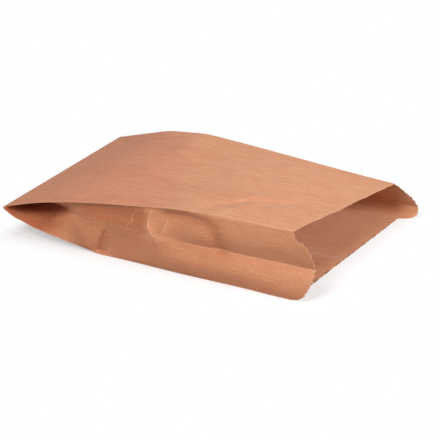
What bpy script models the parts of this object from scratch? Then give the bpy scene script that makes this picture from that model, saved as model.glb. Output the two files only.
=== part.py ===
# Gusseted mailer envelope: one sheet of kraft paper folded and glued into an open bag
# Metres, +Z up, the mouth towards +X, the tall side at -Y, the underside on Z = 0

import math

import bmesh
import bpy
import numpy as np

# Flat sizes of the bag
PANEL_WIDTH = 0.318
BAG_LENGTH = 0.457
GUSSET_HALF = 0.051
PAPER = 0.00035

# Heights of the open bag: the near and far top folds, and the closed end above the floor
NEAR_MOUTH_HEIGHT = 0.0946
FAR_PEAK_HEIGHT = 0.0726
FAR_MOUTH_HEIGHT = 0.0574
SEAM_HEIGHT = 0.0396

# Places along the bag, measured from the closed end
END_TURN_AT = 0.015
FIRST_CREASE_AT = 0.050
FLOOR_CONTACT_AT = 0.1545
FAR_PEAK_AT = 0.150

# Height of the bottom panel at the first two of those places, as shares of the closed end's height
END_TURN_SHARE = 0.78
FIRST_CREASE_SHARE = 0.50

# Closed end: the glued strip, its skew across the bag, and the flap turned under it
SEAM_THICKNESS = 0.0026
SEAM_STRIP = 0.004
SEAM_SKEW = 0.010
POCKET_RAMP = 0.002
CAVITY_START = 0.008
FLAP_WIDTH = 0.025
FLAP_THICKNESS = 0.0007

# Long seam inside the bottom panel, where the two edges of the sheet overlap
LAP_WIDTH = 0.025
LAP_FROM_NEAR_EDGE = 0.120

# Mouth: how far the gussets reach past the panels, the step at a corner, and the saw-tooth cut
NEAR_LIP_REACH = 0.0290
NEAR_LIP_MIDDLE = 0.57
NEAR_LIP_POWERS = (2.6, 5.0)
FAR_LIP_REACH = 0.0235
FAR_LIP_MIDDLE = 0.58
FAR_LIP_POWERS = (2.0, 2.4)
LIP_STEP = 0.0080
LIP_STEP_AT = 0.012
LIP_BLEND = 0.090
TOOTH_PITCH = 0.008
TOOTH_DEPTH = 0.0018
TOOTH_ROOT = 0.010

# How the open bag sits: far side drawn in at the mouth, its gusset pushed outwards there
MOUTH_NARROWING = 0.0125
FAR_GUSSET_BULGE = 0.0245
FAR_GUSSET_SAG = 0.0125
FAR_POP_START = 0.150
FAR_POP_END = 0.330
NEAR_SLACK_START = 0.100
NEAR_TUCK_AT_MOUTH = 0.0085
NEAR_MIDDLE_DROP = 0.0028
TOP_CROWN = 0.0030
MOUTH_WAVE = 0.0020
FOLD_LAND = 0.0003
TOP_ROUNDING = 0.012
BOTTOM_ROUNDING = 0.005

# Near gusset: away from the closed end its fold is shallower and higher than a straight fold's, its
# upper half is hollow as far as the rounder part at the mouth, and its lower edge bends in and out.
# Hollow and flat are shares of the rise that the slack paper has, and each pair of places is where a
# change starts and where it is complete.
NEAR_GATHER = 0.30
NEAR_GATHER_AT = (0.030, 0.110)
NEAR_LIFT = 0.13
NEAR_LIFT_BACK_AT = (0.150, 0.350)
NEAR_HOLLOW = 0.45
NEAR_HOLLOW_AT = (0.020, 0.170)
NEAR_ROUND_AT = (0.180, 0.260)
NEAR_LOWER_FLAT = 0.25
EDGE_BEND_IN = 0.0035
EDGE_BEND_IN_AT = (0.070, 0.150)
EDGE_BEND_BACK_AT = (0.190, 0.310)
EDGE_BEND_OUT = 0.0025
EDGE_BEND_OUT_AT = (0.370, 0.440)

# Dents and creases of the near gusset: along the bag, down from the top fold, width and depth
DENTS = (
    ("valley, upper part", 0.262, 0.013, 0.320, 0.020, 0.0070, -0.0028),
    ("valley, lower part", 0.322, 0.020, 0.334, 0.048, 0.0070, -0.0028),
    ("arc ridge", 0.239, 0.006, 0.227, 0.040, 0.0070, 0.0022),
    ("second kink", 0.1545, 0.101, 0.158, 0.078, 0.0070, -0.0020),
    ("first kink", 0.051, 0.101, 0.068, 0.075, 0.0080, -0.0015),
)

# Number of steps across each panel and gusset half
TOP_STEPS = 12
BOTTOM_STEPS = 8
GUSSET_STEPS = 6

PAPER_COLOUR = (0.62, 0.33, 0.19, 1.0)
PAPER_ROUGHNESS = 0.85

# Creases in order round the bag, and the panel that follows each one
NEAR_TOP, FAR_TOP, FAR_MIDDLE, FAR_BOTTOM, NEAR_BOTTOM, NEAR_MIDDLE = range(6)
TOP_PANEL, FAR_UPPER, FAR_LOWER, BOTTOM_PANEL, NEAR_LOWER, NEAR_UPPER = range(6)


def clear_scene():
    for item in list(bpy.data.objects):
        bpy.data.objects.remove(item, do_unlink=True)


def smooth(value):
    """Ease from 0 to 1 as the value goes from 0 to 1."""
    value = np.clip(value, 0.0, 1.0)
    return value * value * (3.0 - 2.0 * value)


def change(along, places):
    """Ease from 0 to 1 between two places along the bag."""
    return smooth((along - places[0]) / (places[1] - places[0]))


def rounded_line(along, places, heights, rounding):
    """Height of a line through a few points, its corners rounded over a short way."""
    places = np.array(places, dtype=float)
    heights = np.array(heights, dtype=float)
    first = (heights[1] - heights[0]) / (places[1] - places[0])
    last = (heights[-1] - heights[-2]) / (places[-1] - places[-2])
    places = np.concatenate(([places[0] - 1.0], places, [places[-1] + 1.0]))
    heights = np.concatenate(([heights[0] - first], heights, [heights[-1] + last]))
    offsets = np.linspace(-rounding, rounding, 7)
    return sum(np.interp(along + offset, places, heights) for offset in offsets) / len(offsets)


def near_top_height(along):
    """The near top fold climbs fast from the closed end and levels out towards the mouth."""
    seam = SEAM_HEIGHT + (SEAM_THICKNESS - PAPER) / 2
    rise = NEAR_MOUTH_HEIGHT - PAPER / 2 - seam
    shares = (0.0, 0.30, 0.50, 0.66, 0.95, 1.0, 1.0)
    places = [BAG_LENGTH * share for share in (0.0, 0.12, 0.23, 0.35, 0.62, 0.75, 1.0)]
    return rounded_line(along, places, [seam + rise * share for share in shares], TOP_ROUNDING)


def far_top_height(along):
    """The far top fold climbs to a peak, then falls in a straight line to the mouth."""
    seam = SEAM_HEIGHT + (SEAM_THICKNESS - PAPER) / 2
    shoulder = seam + 0.80 * (FAR_PEAK_HEIGHT - seam)
    places = (0.0, 0.58 * FAR_PEAK_AT, FAR_PEAK_AT, BAG_LENGTH)
    heights = (seam, shoulder, FAR_PEAK_HEIGHT, FAR_MOUTH_HEIGHT - PAPER / 2)
    return rounded_line(along, places, heights, TOP_ROUNDING)


def bottom_height(along):
    """The bottom panel leaves the floor at one crease and steepens at two more."""
    seam = SEAM_HEIGHT - (SEAM_THICKNESS - PAPER) / 2
    places = (0.0, END_TURN_AT, FIRST_CREASE_AT, FLOOR_CONTACT_AT, BAG_LENGTH)
    heights = (seam, END_TURN_SHARE * seam, FIRST_CREASE_SHARE * seam, PAPER / 2, PAPER / 2)
    line = rounded_line(along, places, heights, BOTTOM_ROUNDING)
    return np.where(along > FLOOR_CONTACT_AT + BOTTOM_ROUNDING, PAPER / 2, line)


def pocket_opening(along):
    """0 in the glued strip, 1 once the gusset is free of it."""
    return np.clip((along - SEAM_STRIP) / POCKET_RAMP, 0.0, 1.0)


def near_middle_point(along, near_top, bottom, opening):
    """Y and Z of the near gusset's fold: a straight fold's place, gathered, lifted and tucked."""
    taut = np.sqrt(np.maximum(GUSSET_HALF ** 2 - ((near_top - bottom) / 2) ** 2, 1e-8))
    held = taut * (1.0 - NEAR_GATHER * change(along, NEAR_GATHER_AT))
    slack = change(along, (NEAR_SLACK_START, BAG_LENGTH))
    lift = NEAR_LIFT * (change(along, (0.0, NEAR_SLACK_START)) - change(along, NEAR_LIFT_BACK_AT))
    height = bottom + (near_top - bottom) * (0.5 + lift) - NEAR_MIDDLE_DROP * slack
    return opening * (held + (NEAR_TUCK_AT_MOUTH - held) * slack), height


def near_bottom_edge(along):
    """Y of the near bottom fold, which bends in past the floor contact and out at the mouth."""
    bent_in = change(along, EDGE_BEND_IN_AT) - change(along, EDGE_BEND_BACK_AT)
    return EDGE_BEND_IN * bent_in - EDGE_BEND_OUT * change(along, EDGE_BEND_OUT_AT)


def crease_points(along):
    """Middle of the paper at the six creases, as (6, n, 2) values of Y and Z."""
    along = np.asarray(along, dtype=float)
    near_top = near_top_height(along)
    far_top = far_top_height(along)
    bottom = bottom_height(along)
    opening = pocket_opening(along)
    drawn_in = MOUTH_NARROWING * change(along, (FAR_PEAK_AT, BAG_LENGTH))
    far_edge = PANEL_WIDTH - drawn_in
    far_fold = (far_edge + PANEL_WIDTH) / 2

    near_tuck, near_middle = near_middle_point(along, near_top, bottom, opening)
    taut = np.sqrt(np.maximum(GUSSET_HALF ** 2 - ((far_top - bottom) / 2) ** 2, 1e-8))
    popped = change(along, (FAR_POP_START, FAR_POP_END))
    far_tuck = opening * taut * (1.0 - popped) - FAR_GUSSET_BULGE * popped
    far_middle = (far_top + bottom) / 2 - FAR_GUSSET_SAG * popped

    zero = np.zeros_like(along)
    return np.array([
        np.stack((zero, near_top), axis=-1),
        np.stack((far_edge, far_top), axis=-1),
        np.stack((far_fold - far_tuck, far_middle), axis=-1),
        np.stack((np.full_like(along, PANEL_WIDTH), bottom), axis=-1),
        np.stack((near_bottom_edge(along), bottom), axis=-1),
        np.stack((near_tuck, near_middle), axis=-1),
    ])


def dent_depth(along, down):
    """Sum of the dents at a place on the near gusset, each one a soft groove along a short line."""
    total = np.zeros_like(along)
    for _, start_along, start_down, end_along, end_down, width, depth in DENTS:
        line = np.array((end_along - start_along, end_down - start_down))
        length = np.hypot(*line)
        run = ((along - start_along) * line[0] + (down - start_down) * line[1]) / length ** 2
        held = np.clip(run, 0.0, 1.0)
        away = np.hypot(along - start_along - held * line[0], down - start_down - held * line[1])
        total += depth * np.exp(-(away / width) ** 2)
    return total


def panel_bulge(panel, share, along, chord):
    """How far the paper stands out from the straight line between its two creases.

    The near gusset's upper half goes inwards first and comes out towards the mouth. Its lower half
    stays nearly flat as far as the same place.
    """
    arch = 4.0 * share * (1.0 - share)
    slack = np.maximum(GUSSET_HALF - chord, 0.0)
    sagitta = np.sqrt(0.375 * chord * slack) * pocket_opening(along - POCKET_RAMP)
    open_part = change(along, (CAVITY_START, FLOOR_CONTACT_AT))

    at_mouth = change(along, (0.6 * BAG_LENGTH, BAG_LENGTH))
    wave = MOUTH_WAVE * np.sin(3.25 * math.pi * share) * np.exp(-2.0 * share) * (1.0 - share)
    top = TOP_CROWN * open_part * arch * (1.0 - 0.8 * at_mouth) + wave * at_mouth
    far = np.minimum(sagitta, 0.006) * arch
    outwards = change(along, NEAR_ROUND_AT)
    upper = sagitta * (outwards - NEAR_HOLLOW * change(along, NEAR_HOLLOW_AT) * (1.0 - outwards))
    lower = sagitta * (NEAR_LOWER_FLAT + (1.0 - NEAR_LOWER_FLAT) * change(along, NEAR_LIFT_BACK_AT))
    down = np.where(panel == NEAR_UPPER, 1.0 - share, 2.0 - share) * GUSSET_HALF
    edge_fade = np.minimum(1.0, 6.0 * share * (1.0 - share))
    near = np.where(panel == NEAR_UPPER, upper, lower) * arch
    near = near + dent_depth(along, down) * edge_fade * open_part

    is_near = (panel == NEAR_UPPER) | (panel == NEAR_LOWER)
    is_far = (panel == FAR_UPPER) | (panel == FAR_LOWER)
    return np.where(panel == TOP_PANEL, top, np.where(is_far, far, np.where(is_near, near, 0.0)))


def turned(direction):
    """A direction turned a quarter turn, from along the paper to out of the bag."""
    return np.stack((-direction[:, 1], direction[:, 0]), axis=-1)


def unit(vectors):
    return vectors / np.maximum(np.linalg.norm(vectors, axis=-1, keepdims=True), 1e-12)


def ring_points(columns, along, side):
    """Y and Z of one ring: side is 1 on the outer face of the paper and -1 on the inner face.

    Each panel runs between the points where its own face leaves the two folds. On the inside of a
    fold that is where the two faces meet, and on the outside it is square to the crease.
    """
    panel, share, is_tip = columns
    index = np.arange(len(panel))
    creases = crease_points(along)
    before, start, end, after = (creases[(panel + step) % 6, index] for step in (-1, 0, 1, 2))
    chord = np.linalg.norm(end - start, axis=-1)
    d_before, d_here, d_after = unit(start - before), unit(end - start), unit(after - end)
    n_before, n_here = turned(d_before), turned(d_here)
    half = PAPER / 2

    def retreat(first, second):
        cross = first[:, 0] * second[:, 1] - first[:, 1] * second[:, 0]
        dot = np.clip(np.sum(first * second, axis=-1), -0.99999, 1.0)
        inside = np.where(side * cross > 0, half * np.sqrt((1 - dot) / (1 + dot)), 0.0)
        return np.minimum(inside, 0.4 * chord)

    start_back = (retreat(d_before, d_here) + FOLD_LAND)[:, None]
    end_back = (retreat(d_here, d_after) + FOLD_LAND)[:, None]
    first = start + side * half * n_here + d_here * start_back
    last = end + side * half * n_here - d_here * end_back
    bulge = panel_bulge(panel, share, along, chord)[:, None]
    points = first + (last - first) * share[:, None] + n_here * bulge

    bisector = n_before + n_here
    reach = np.linalg.norm(bisector, axis=-1)
    cross = d_before[:, 0] * d_here[:, 1] - d_before[:, 1] * d_here[:, 0]
    length = np.where(side * cross > 0, 2 * half / np.maximum(reach, 0.01), half)
    tips = start + side * unit(bisector) * length[:, None]
    points = np.where(is_tip[:, None], tips, points)

    if side > 0:
        under = (panel == BOTTOM_PANEL) | (is_tip & (panel == NEAR_LOWER))
        points[:, 1] -= np.where(under & (along <= FLAP_WIDTH), FLAP_THICKNESS, 0.0)
    else:
        from_near = (1.0 - share) * PANEL_WIDTH
        on_lap = np.abs(from_near - LAP_FROM_NEAR_EDGE - LAP_WIDTH / 2) <= LAP_WIDTH / 2 + 1e-6
        points[:, 1] += np.where((panel == BOTTOM_PANEL) & on_lap & ~is_tip, PAPER, 0.0)
    return points


def make_columns(steps):
    """Columns round the bag: for each panel the fold's tip, then its shares from 0 to 1."""
    panels = []
    shares = []
    tips = []
    for panel, count in enumerate(steps):
        places = list(np.linspace(0.0, 1.0, count + 1))
        if panel == BOTTOM_PANEL:
            lap_start = 1.0 - (LAP_FROM_NEAR_EDGE + LAP_WIDTH) / PANEL_WIDTH
            lap_end = 1.0 - LAP_FROM_NEAR_EDGE / PANEL_WIDTH
            step = PAPER / PANEL_WIDTH
            places = [place for place in places if not lap_start - 0.02 < place < lap_end + 0.02]
            places = sorted(places + [lap_start - step, lap_start, lap_end, lap_end + step])
        panels += [panel] * (len(places) + 1)
        shares += [0.0] + places
        tips += [True] + [False] * len(places)
    return np.array(panels), np.array(shares), np.array(tips)


def lip_reach(columns):
    """How far each column's end lies past the corners of the panels."""
    panel, share, is_tip = columns
    near_down = np.where(panel == NEAR_UPPER, 1.0 - share, 2.0 - share) / 2
    near_down = np.where(is_tip & (panel == NEAR_UPPER), 0.5, near_down)
    far_down = np.where(panel == FAR_UPPER, share, 1.0 + share) / 2
    far_down = np.where(is_tip & (panel == FAR_LOWER), 0.5, far_down)

    def curve(down, middle, reach, powers):
        offset = np.where(down < middle, 1.0 - down / middle, (down - middle) / (1.0 - middle))
        power = np.where(down < middle, powers[0], powers[1])
        return reach * (1.0 - offset ** power)

    step_share = LIP_STEP_AT / (2 * GUSSET_HALF)
    near = curve(near_down, NEAR_LIP_MIDDLE, NEAR_LIP_REACH, NEAR_LIP_POWERS)
    near = np.maximum(near - np.where(near_down < step_share, LIP_STEP, 0.0), 0.0)
    far = curve(far_down, FAR_LIP_MIDDLE, FAR_LIP_REACH, FAR_LIP_POWERS)
    on_near = (panel == NEAR_UPPER) | ((panel == NEAR_LOWER) & ~is_tip)
    on_far = ((panel == FAR_UPPER) & ~is_tip) | (panel == FAR_LOWER)
    return np.where(on_near, near, np.where(on_far, far, 0.0))


def place_ring(columns, station, side, cut_back=0.0):
    """Points of one ring in space, stretched towards the mouth to follow its cut edge."""
    stretch = change(station, (BAG_LENGTH - LIP_BLEND, BAG_LENGTH))
    along = station + lip_reach(columns) * stretch - cut_back
    flat = ring_points(columns, along, side)
    fade = 1.0 - along / BAG_LENGTH
    skew = SEAM_SKEW * (0.5 - flat[:, 0] / PANEL_WIDTH) * fade
    return np.column_stack((along + skew, flat))


def stations():
    """Places of the rings along the bag: close together at the seam, the creases and the dents."""
    strip_end = SEAM_STRIP + POCKET_RAMP
    places = [0.0, SEAM_STRIP, strip_end, CAVITY_START, (CAVITY_START + FLAP_WIDTH) / 2]
    places += [FLAP_WIDTH, FLAP_WIDTH + PAPER]
    places += list(np.linspace(FLAP_WIDTH + PAPER, FIRST_CREASE_AT, 3)[1:])
    places += list(np.linspace(FIRST_CREASE_AT, FLOOR_CONTACT_AT, 7)[1:])
    places += list(np.linspace(FLOOR_CONTACT_AT, BAG_LENGTH - LIP_BLEND, 15)[1:])
    places += list(np.linspace(BAG_LENGTH - LIP_BLEND, BAG_LENGTH - TOOTH_ROOT, 5)[1:])
    return places


def add_band(mesh, first, second, outward):
    """Quads between two rings with the same columns."""
    count = len(first)
    for j in range(count):
        k = (j + 1) % count
        corners = [first[j], second[j], second[k], first[k]]
        mesh.faces.new(corners if outward else corners[::-1])


def add_stitched_band(mesh, coarse, coarse_order, fine, fine_order, outward):
    """Triangles between two rings whose columns differ, walking round both in order."""
    i = 0
    j = 0
    while i < len(coarse) or j < len(fine):
        next_i = coarse_order[i + 1] if i + 1 < len(coarse) else math.inf
        next_j = fine_order[j + 1] if j + 1 < len(fine) else math.inf
        if j >= len(fine) or (i < len(coarse) and next_i <= next_j):
            corners = [coarse[i], fine[j % len(fine)], coarse[(i + 1) % len(coarse)]]
            i += 1
        else:
            corners = [coarse[i % len(coarse)], fine[j], fine[(j + 1) % len(fine)]]
            j += 1
        mesh.faces.new(corners if outward else corners[::-1])


def column_order(columns):
    """A number that grows round the bag, with each fold's tip just before its panel."""
    panel, share, is_tip = columns
    return panel + np.where(is_tip, -0.001, share * 0.99)


def build_envelope():
    coarse = make_columns((TOP_STEPS, GUSSET_STEPS, GUSSET_STEPS, BOTTOM_STEPS, GUSSET_STEPS, GUSSET_STEPS))
    wide = 2 * round(PANEL_WIDTH / TOOTH_PITCH)
    narrow = 2 * round(GUSSET_HALF / TOOTH_PITCH)
    fine = make_columns((wide, narrow, narrow, wide, narrow, narrow))
    teeth = np.where(np.arange(len(fine[0])) % 2 == 1, TOOTH_DEPTH, 0.0)

    mesh = bmesh.new()
    rims = []
    for side in (1, -1):
        rings = []
        for station in stations():
            if side > 0 or station >= CAVITY_START - 1e-9:
                points = place_ring(coarse, station, side)
                rings.append([mesh.verts.new(point) for point in points])
        for first, second in zip(rings, rings[1:]):
            add_band(mesh, first, second, side > 0)
        mesh.faces.new(rings[0] if side > 0 else rings[0][::-1])
        rim = [mesh.verts.new(point) for point in place_ring(fine, BAG_LENGTH, side, teeth)]
        add_stitched_band(mesh, rings[-1], column_order(coarse), rim, column_order(fine), side > 0)
        rims.append(rim)
    add_band(mesh, rims[0], rims[1], True)

    bmesh.ops.triangulate(mesh, faces=mesh.faces[:], quad_method="SHORT_EDGE", ngon_method="BEAUTY")
    bmesh.ops.recalc_face_normals(mesh, faces=mesh.faces[:])
    corners = np.array([vertex.co[:] for vertex in mesh.verts])
    low, high = corners.min(axis=0), corners.max(axis=0)
    shift = (-(low[0] + high[0]) / 2, -(low[1] + high[1]) / 2, -low[2])
    bmesh.ops.translate(mesh, verts=mesh.verts[:], vec=shift)
    return mesh


def paper_material():
    material = bpy.data.materials.new("kraft_paper")
    material.use_nodes = True
    shader = material.node_tree.nodes["Principled BSDF"]
    shader.inputs["Base Color"].default_value = PAPER_COLOUR
    shader.inputs["Roughness"].default_value = PAPER_ROUGHNESS
    shader.inputs["Metallic"].default_value = 0.0
    return material


def main():
    clear_scene()
    mesh = build_envelope()
    data = bpy.data.meshes.new("mailer_envelope")
    mesh.to_mesh(data)
    mesh.free()
    data.shade_smooth()
    data.set_sharp_from_angle(angle=math.radians(30.0))
    data.materials.append(paper_material())
    envelope = bpy.data.objects.new("mailer_envelope", data)
    bpy.context.scene.collection.objects.link(envelope)


main()
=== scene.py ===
"""Gusseted mailer envelope: the finished kraft paper sheet in its open shape, and a plain studio."""

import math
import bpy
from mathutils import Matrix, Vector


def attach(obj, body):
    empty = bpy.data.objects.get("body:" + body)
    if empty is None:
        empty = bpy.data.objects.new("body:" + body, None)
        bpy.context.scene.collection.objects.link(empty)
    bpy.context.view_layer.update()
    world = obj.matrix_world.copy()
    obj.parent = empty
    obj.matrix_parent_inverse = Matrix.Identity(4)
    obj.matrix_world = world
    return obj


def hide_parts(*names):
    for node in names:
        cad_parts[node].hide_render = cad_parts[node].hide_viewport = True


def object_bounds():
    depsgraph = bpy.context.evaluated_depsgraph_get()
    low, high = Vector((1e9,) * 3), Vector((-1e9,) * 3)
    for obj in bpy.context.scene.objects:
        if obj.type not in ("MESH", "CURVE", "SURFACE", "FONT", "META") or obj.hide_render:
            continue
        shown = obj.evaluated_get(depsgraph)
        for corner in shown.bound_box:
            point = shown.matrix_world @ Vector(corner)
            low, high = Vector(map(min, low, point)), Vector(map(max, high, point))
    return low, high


bl_info = {
    "name": "Mailer Envelope",
    "version": (1, 0, 0),
    "blender": (4, 5, 0),
    "location": "View3D > Sidebar > Envelope",
    "description": "Builds an open gusseted kraft paper mailer envelope and a plain studio",
    "category": "Object",
}

import bpy
import numpy as np
from bpy.props import FloatProperty, FloatVectorProperty, PointerProperty
from bpy.types import Operator, Panel, PropertyGroup

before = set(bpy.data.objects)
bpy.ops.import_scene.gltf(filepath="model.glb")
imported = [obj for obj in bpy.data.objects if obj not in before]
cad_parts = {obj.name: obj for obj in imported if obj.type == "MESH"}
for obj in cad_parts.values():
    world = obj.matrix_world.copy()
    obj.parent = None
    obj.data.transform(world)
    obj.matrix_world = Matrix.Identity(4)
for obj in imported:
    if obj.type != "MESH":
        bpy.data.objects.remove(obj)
CAD_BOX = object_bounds()
NODE = "mailer_envelope"

# Panels of the sheet in order round the bag, each one starting at the crease of the same number
PANEL_COUNT = 6
TOP_PANEL, FAR_UPPER, FAR_LOWER, BOTTOM_PANEL, NEAR_LOWER, NEAR_UPPER = range(PANEL_COUNT)

# Steps across each panel, for the rings along the bag and for the finer ring of the cut
RING_STEPS = (44, 12, 12, 20, 42, 42)
CUT_STEPS = (238, 38, 38, 238, 44, 44)

# Round the flat chart: how far the inner face stands off, and where the top's stronger streaks fade
INNER_CHART = 1.3
TOP_STREAKS = (0.325, 0.318)

# Stretches along the bag in which a form comes in or goes out, each as its start and its length
NEAR_GATHERS = (0.050, 0.100)
NEAR_LIFTS = (0.0, 0.045)
NEAR_SINKS = (0.150, 0.200)
NEAR_SLACKENS_FROM = 0.100
NEAR_TUCKS_FROM = 0.250
NEAR_EDGE_IN = (0.070, 0.080)
NEAR_EDGE_STRAIGHT = (0.190, 0.120)
NEAR_EDGE_OUT = (0.370, 0.070)
NEAR_SWELLS_OUT = (0.270, 0.080)
NEAR_HOLLOWS = (0.020, 0.150)
LOWER_FILLS = (0.150, 0.200)
LOWER_CREASES_WIDEN = (0.090, 0.040)
FAR_POPS_OUT = (0.150, 0.180)
SOFT_FOLD_IN = (0.030, 0.040)
SOFT_FOLD_OUT = (0.235, 0.075)

# Lengths over which the creases fade: from the start of the inside, and from the near top fold
CREASES_START = 0.030
CREASES_BELOW_FOLD = 0.012

# The same for the paper's colour: folds lightened as rubbing and painted highlight, and redder and darker
# painted shade
NEAR_FOLDS_RUBBED_AND_HIGHLIT = (0.290, 0.060)
NEAR_FOLD_SHADE = (0.170, 0.090)
LOW_SIDE_SHADE = (0.120, 0.120)
CLOSED_END_SHADE = (0.055, 0.055)
HELD_IN_SHADE = (0.100, 0.045)
HELD_IN_SHADE_ENDS = (0.222, 0.018)
WHOLE_SIDE_SHADE = (0.190, 0.040)

# Floor that shows the object's shadow: a box round the footprint, and how far the shadow fades out
FOOTPRINT_MIDDLE = (0.012, 0.0, 0.0)
FOOTPRINT_HALF = (0.230, 0.170, 0.0)
SHADOW_FADE = 0.030

# Places, aim and size of the soft lights
KEY_PLACE = (3.70, -0.15, 1.52)
FILL_PLACE = (0.05, -2.83, 2.83)
LIGHT_AIM = (0.0, 0.0, 0.05)
LIGHT_SIZE = 1.6


def length(name, text, default):
    """A size in metres that the user can change."""
    return FloatProperty(name=name, description=text, default=default, unit="LENGTH", precision=4)


def number(name, text, default, **more):
    """A plain number that the user can change."""
    return FloatProperty(name=name, description=text, default=default, **more)


def colour(name, text, default):
    """A colour that the user can change."""
    return FloatVectorProperty(
        name=name, description=text, default=default, subtype="COLOR", size=3, min=0, max=1
    )


class EnvelopeSizes(PropertyGroup):
    panel_width: length("Panel width", "Flat width of the top and bottom panels", 0.318)
    bag_length: length("Bag length", "Closed end to the corners of the mouth", 0.457)
    gusset_half: length("Gusset half", "Flat width of each half of a side gusset", 0.051)
    paper: length("Paper", "Thickness of the paper wall", 0.00035)
    near_mouth_height: length("Near mouth height", "Near top fold above the table at the mouth", 0.0946)
    far_peak_height: length("Far peak height", "Highest point of the far top fold", 0.0726)
    far_mouth_height: length("Far mouth height", "Far top fold above the table at the mouth", 0.0574)
    seam_height: length("Seam height", "Closed end above the table", 0.0396)
    end_turn: length("End turn", "Closed end to the place where the bottom panel gets less steep", 0.015)
    first_crease: length("First crease", "Closed end to the first crease of the bottom panel", 0.050)
    floor_contact: length("Table contact", "Closed end to where the bottom panel lies flat", 0.1545)
    far_peak: length("Far peak", "Closed end to the highest point of the far top fold", 0.150)
    seam_thickness: length("Seam thickness", "Glued layers at the closed end", 0.0026)
    seam_strip: length("Seam strip", "Length of the glued layers before the gussets open", 0.004)
    pocket_ramp: length("Gusset opening", "Length over which a gusset leaves the glued strip", 0.002)
    cavity_start: length("Inside start", "Closed end to the start of the inside", 0.008)
    seam_skew: length("Seam skew", "How far the closed end runs out of square across the bag", 0.010)
    flap_width: length("Flap width", "Flap turned under the closed end and glued", 0.025)
    flap_thickness: length("Flap thickness", "Height of the turned flap under the bottom panel", 0.0007)
    lap_width: length("Lap width", "Overlap of the long seam inside the bottom panel", 0.025)
    lap_place: length("Lap place", "Near edge of the bottom panel to the long seam", 0.120)
    near_lip: length("Near lip", "How far the near gusset reaches past the mouth's corners", 0.0294)
    far_lip: length("Far lip", "How far the far gusset reaches past the mouth's corners", 0.0235)
    far_lip_middle: number("Far lip middle", "Place of the far lip's longest part, down the gusset", 0.58)
    lip_blend: length("Lip blend", "Length of bag over which the rings bend to the cut", 0.090)
    tooth_pitch: length("Tooth pitch", "Distance between teeth of the cut", 0.008)
    tooth_depth: length("Tooth depth", "Depth of the teeth of the cut", 0.0018)
    mouth_narrowing: length("Mouth narrowing", "How far the far top fold is drawn in at the mouth", 0.0125)
    far_bulge: length("Far bulge", "How far the far gusset is pushed outwards at the mouth", 0.0245)
    far_sag: length("Far sag", "How far the far gusset's middle hangs below the middle", 0.0125)
    near_tuck: length("Near tuck", "Depth of the near gusset's fold at the mouth", 0.0064)
    near_gather: number("Near gather", "Share of a straight fold's depth that the curved gusset loses", 0.96)
    near_lift: number("Near lift", "Rise of the near gusset's fold, as a share of the opening", 0.13)
    near_drop: length("Near drop", "How far the near gusset's fold hangs below the middle", 0.0028)
    top_crown: length("Top crown", "Rise of the top panel's middle", 0.0030)
    mouth_wave: length("Mouth wave", "Rise and fall of the top panel along the cut", 0.0020)
    cockle: length("Cockle", "Height of the slow unevenness of the paper", 0.00035)
    fold_land: length("Fold land", "Flat on each side of a fold's tip", 0.0003)
    place: FloatVectorProperty(
        name="Place",
        description="Closed end's middle, near top fold and table, in the object's frame",
        default=(CAD_BOX[0][0] + 0.005, CAD_BOX[0][1] + 0.00722, 0.0),
        subtype="TRANSLATION",
        unit="LENGTH",
    )


class PaperColours(PropertyGroup):
    kraft: colour("Kraft", "Main colour of the paper", (0.63, 0.284, 0.142))
    dark_fibre: colour("Dark fibre", "Colour of the darker streaks and fibres", (0.50, 0.185, 0.088))
    light_fibre: colour("Light fibre", "Colour of the lighter streaks and fibres", (0.70, 0.350, 0.190))
    # Folds and creases lightened partly as rubbed paper, partly as painted highlight where they catch the
    # light
    worn_fold_and_highlight: colour("Worn fold", "Colour of the rubbed folds and creases", (0.78, 0.44, 0.26))
    # Painted shade: a redder tint over the near gusset, its lower edge and the top panel's less lit parts
    rosy_shade: colour("Rosy", "Tint that multiplies the paper where it is redder", (1.0, 0.86, 0.88))
    # Painted shade: a darker tint by the closed end and in the near gusset's grooves
    deep_shade: colour("Deep", "Tint that multiplies the near gusset by the closed end", (0.70, 0.52, 0.43))
    roughness: number("Roughness", "Roughness of the paper", 0.80, min=0, max=1)


class StudioSettings(PropertyGroup):
    azimuth: number("Azimuth", "Camera's turn round the object", math.radians(29.47), subtype="ANGLE")
    elevation: number("Elevation", "Camera's angle above the table", math.radians(22.09), subtype="ANGLE")
    distance: length("Distance", "Camera to the point on the table at the picture's middle", 3.0)
    target: FloatVectorProperty(
        name="Target",
        description="Point on the table at the picture's middle",
        default=(0.00016, 0.02535, 0.0),
        subtype="TRANSLATION",
        unit="LENGTH",
    )
    lens: number("Lens", "Focal length in millimetres", 174.27, unit="CAMERA")
    sky_level: number("Sky level", "Strength of the light from all round", 0.235, min=0)
    key_power: number("Key power", "Power of the soft light at the right", 184.0, min=0)
    fill_power: number("Fill power", "Power of the soft light at the front", 97.0, min=0)
    floor_size: length("Floor size", "Side of the square floor", 14.0)
    floor_glow: number(
        "Floor glow", "Share of the floor that the camera sees as plain white", 0.48, min=0, max=1
    )


# Shape of the open bag


def ease(value):
    """Smooth step: 3 v squared minus 2 v cubed, with v held between 0 and 1."""
    value = np.clip(value, 0.0, 1.0)
    return value * value * (3.0 - 2.0 * value)


def ease_over(along, stretch):
    """Smooth step over a stretch that is given as its start and its length."""
    return ease((along - stretch[0]) / stretch[1])


def rounded_line(along, places, heights, rounding):
    """Straight lines through a few points, averaged over a short way to round the corners."""
    places = np.array(places, dtype=float)
    heights = np.array(heights, dtype=float)
    first = (heights[1] - heights[0]) / (places[1] - places[0])
    last = (heights[-1] - heights[-2]) / (places[-1] - places[-2])
    places = np.concatenate(([places[0] - 1.0], places, [places[-1] + 1.0]))
    heights = np.concatenate(([heights[0] - first], heights, [heights[-1] + last]))
    offsets = np.linspace(-rounding, rounding, 9)
    return sum(np.interp(along + offset, places, heights) for offset in offsets) / len(offsets)


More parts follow.
